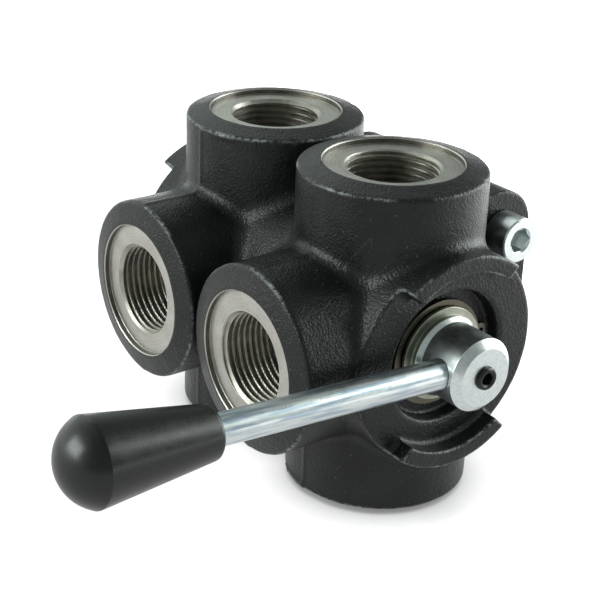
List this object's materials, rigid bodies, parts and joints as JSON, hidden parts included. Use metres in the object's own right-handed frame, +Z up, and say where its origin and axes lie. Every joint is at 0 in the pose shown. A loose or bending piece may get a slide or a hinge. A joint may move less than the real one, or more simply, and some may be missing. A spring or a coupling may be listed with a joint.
{
  "type": "rotary diverter valve",
  "caption": "Hand-lever rotary diverter valve for hydraulic oil: two cast three-port bodies bolted in line, turned together by one spindle with a tapered knob on its rod.",
  "frame": {"origin": "middle of the bounding box in plan, at the level of the bottom ports' rims, which the valve stands on", "axes": "+Z up, along the top ports' axes; -X the way the left ports and the lever point; -Y the lever side, so the spindle runs along Y"},
  "size_m": [0.2089, 0.1608, 0.116],
  "materials": {
    "cast_body": "black satin paint over sand-cast iron, machined port faces bare",
    "zinc_plate": "bright zinc plate on turned steel",
    "turned_steel": "turned steel, lightly oiled",
    "bronze": "bearing bronze",
    "rubber": "moulded nitrile rubber",
    "spring_steel": "yellow-passivated spring steel",
    "black_screw": "black oxide",
    "knob_plastic": "black phenolic plastic, satin"
  },
  "bodies": {
    "valve_body": {"front_body": "cast_body", "rear_body": "cast_body", "front_tie_screw": "zinc_plate", "rear_tie_screw": "zinc_plate", "centring_ring": "turned_steel", "joint_seal": "rubber", "front_thrust_washer": "bronze", "rear_thrust_washer": "bronze", "end_plug": "turned_steel", "end_plug_circlip": "spring_steel", "end_plug_seal": "rubber"},
    "lever": {"spindle": "zinc_plate", "spindle_circlip": "spring_steel", "spindle_seal": "rubber", "lever_rod": "zinc_plate", "lever_knob": "knob_plastic", "lever_set_screw": "black_screw"},
    "front_rotor_set": {"front_rotor": "turned_steel", "front_rotor_outer_seal": "rubber", "front_rotor_inner_seal": "rubber"},
    "rear_rotor_set": {"rear_rotor": "turned_steel", "rear_rotor_outer_seal": "rubber", "rear_rotor_inner_seal": "rubber", "drive_coupling": "turned_steel"}
  },
  "joints": [
    {"name": "lever_turn", "type": "hinge", "parent": "valve_body", "child": "lever", "pos_m": [0.04367, -0.06705, 0.058], "axis": [0, 1, 0], "range_deg": [-49, 41]},
    {"name": "front_rotor_turn", "type": "hinge", "parent": "valve_body", "child": "front_rotor_set", "pos_m": [0.04367, -0.02495, 0.058], "axis": [0, 1, 0], "range_deg": [-49, 41]},
    {"name": "rear_rotor_turn", "type": "hinge", "parent": "valve_body", "child": "rear_rotor_set", "pos_m": [0.04367, 0.04065, 0.058], "axis": [0, 1, 0], "range_deg": [-49, 41]}
  ],
  "couplings": [
    {"joint": "front_rotor_turn", "follows": "lever_turn", "ratio": 1},
    {"joint": "rear_rotor_turn", "follows": "lever_turn", "ratio": 1}
  ]
}
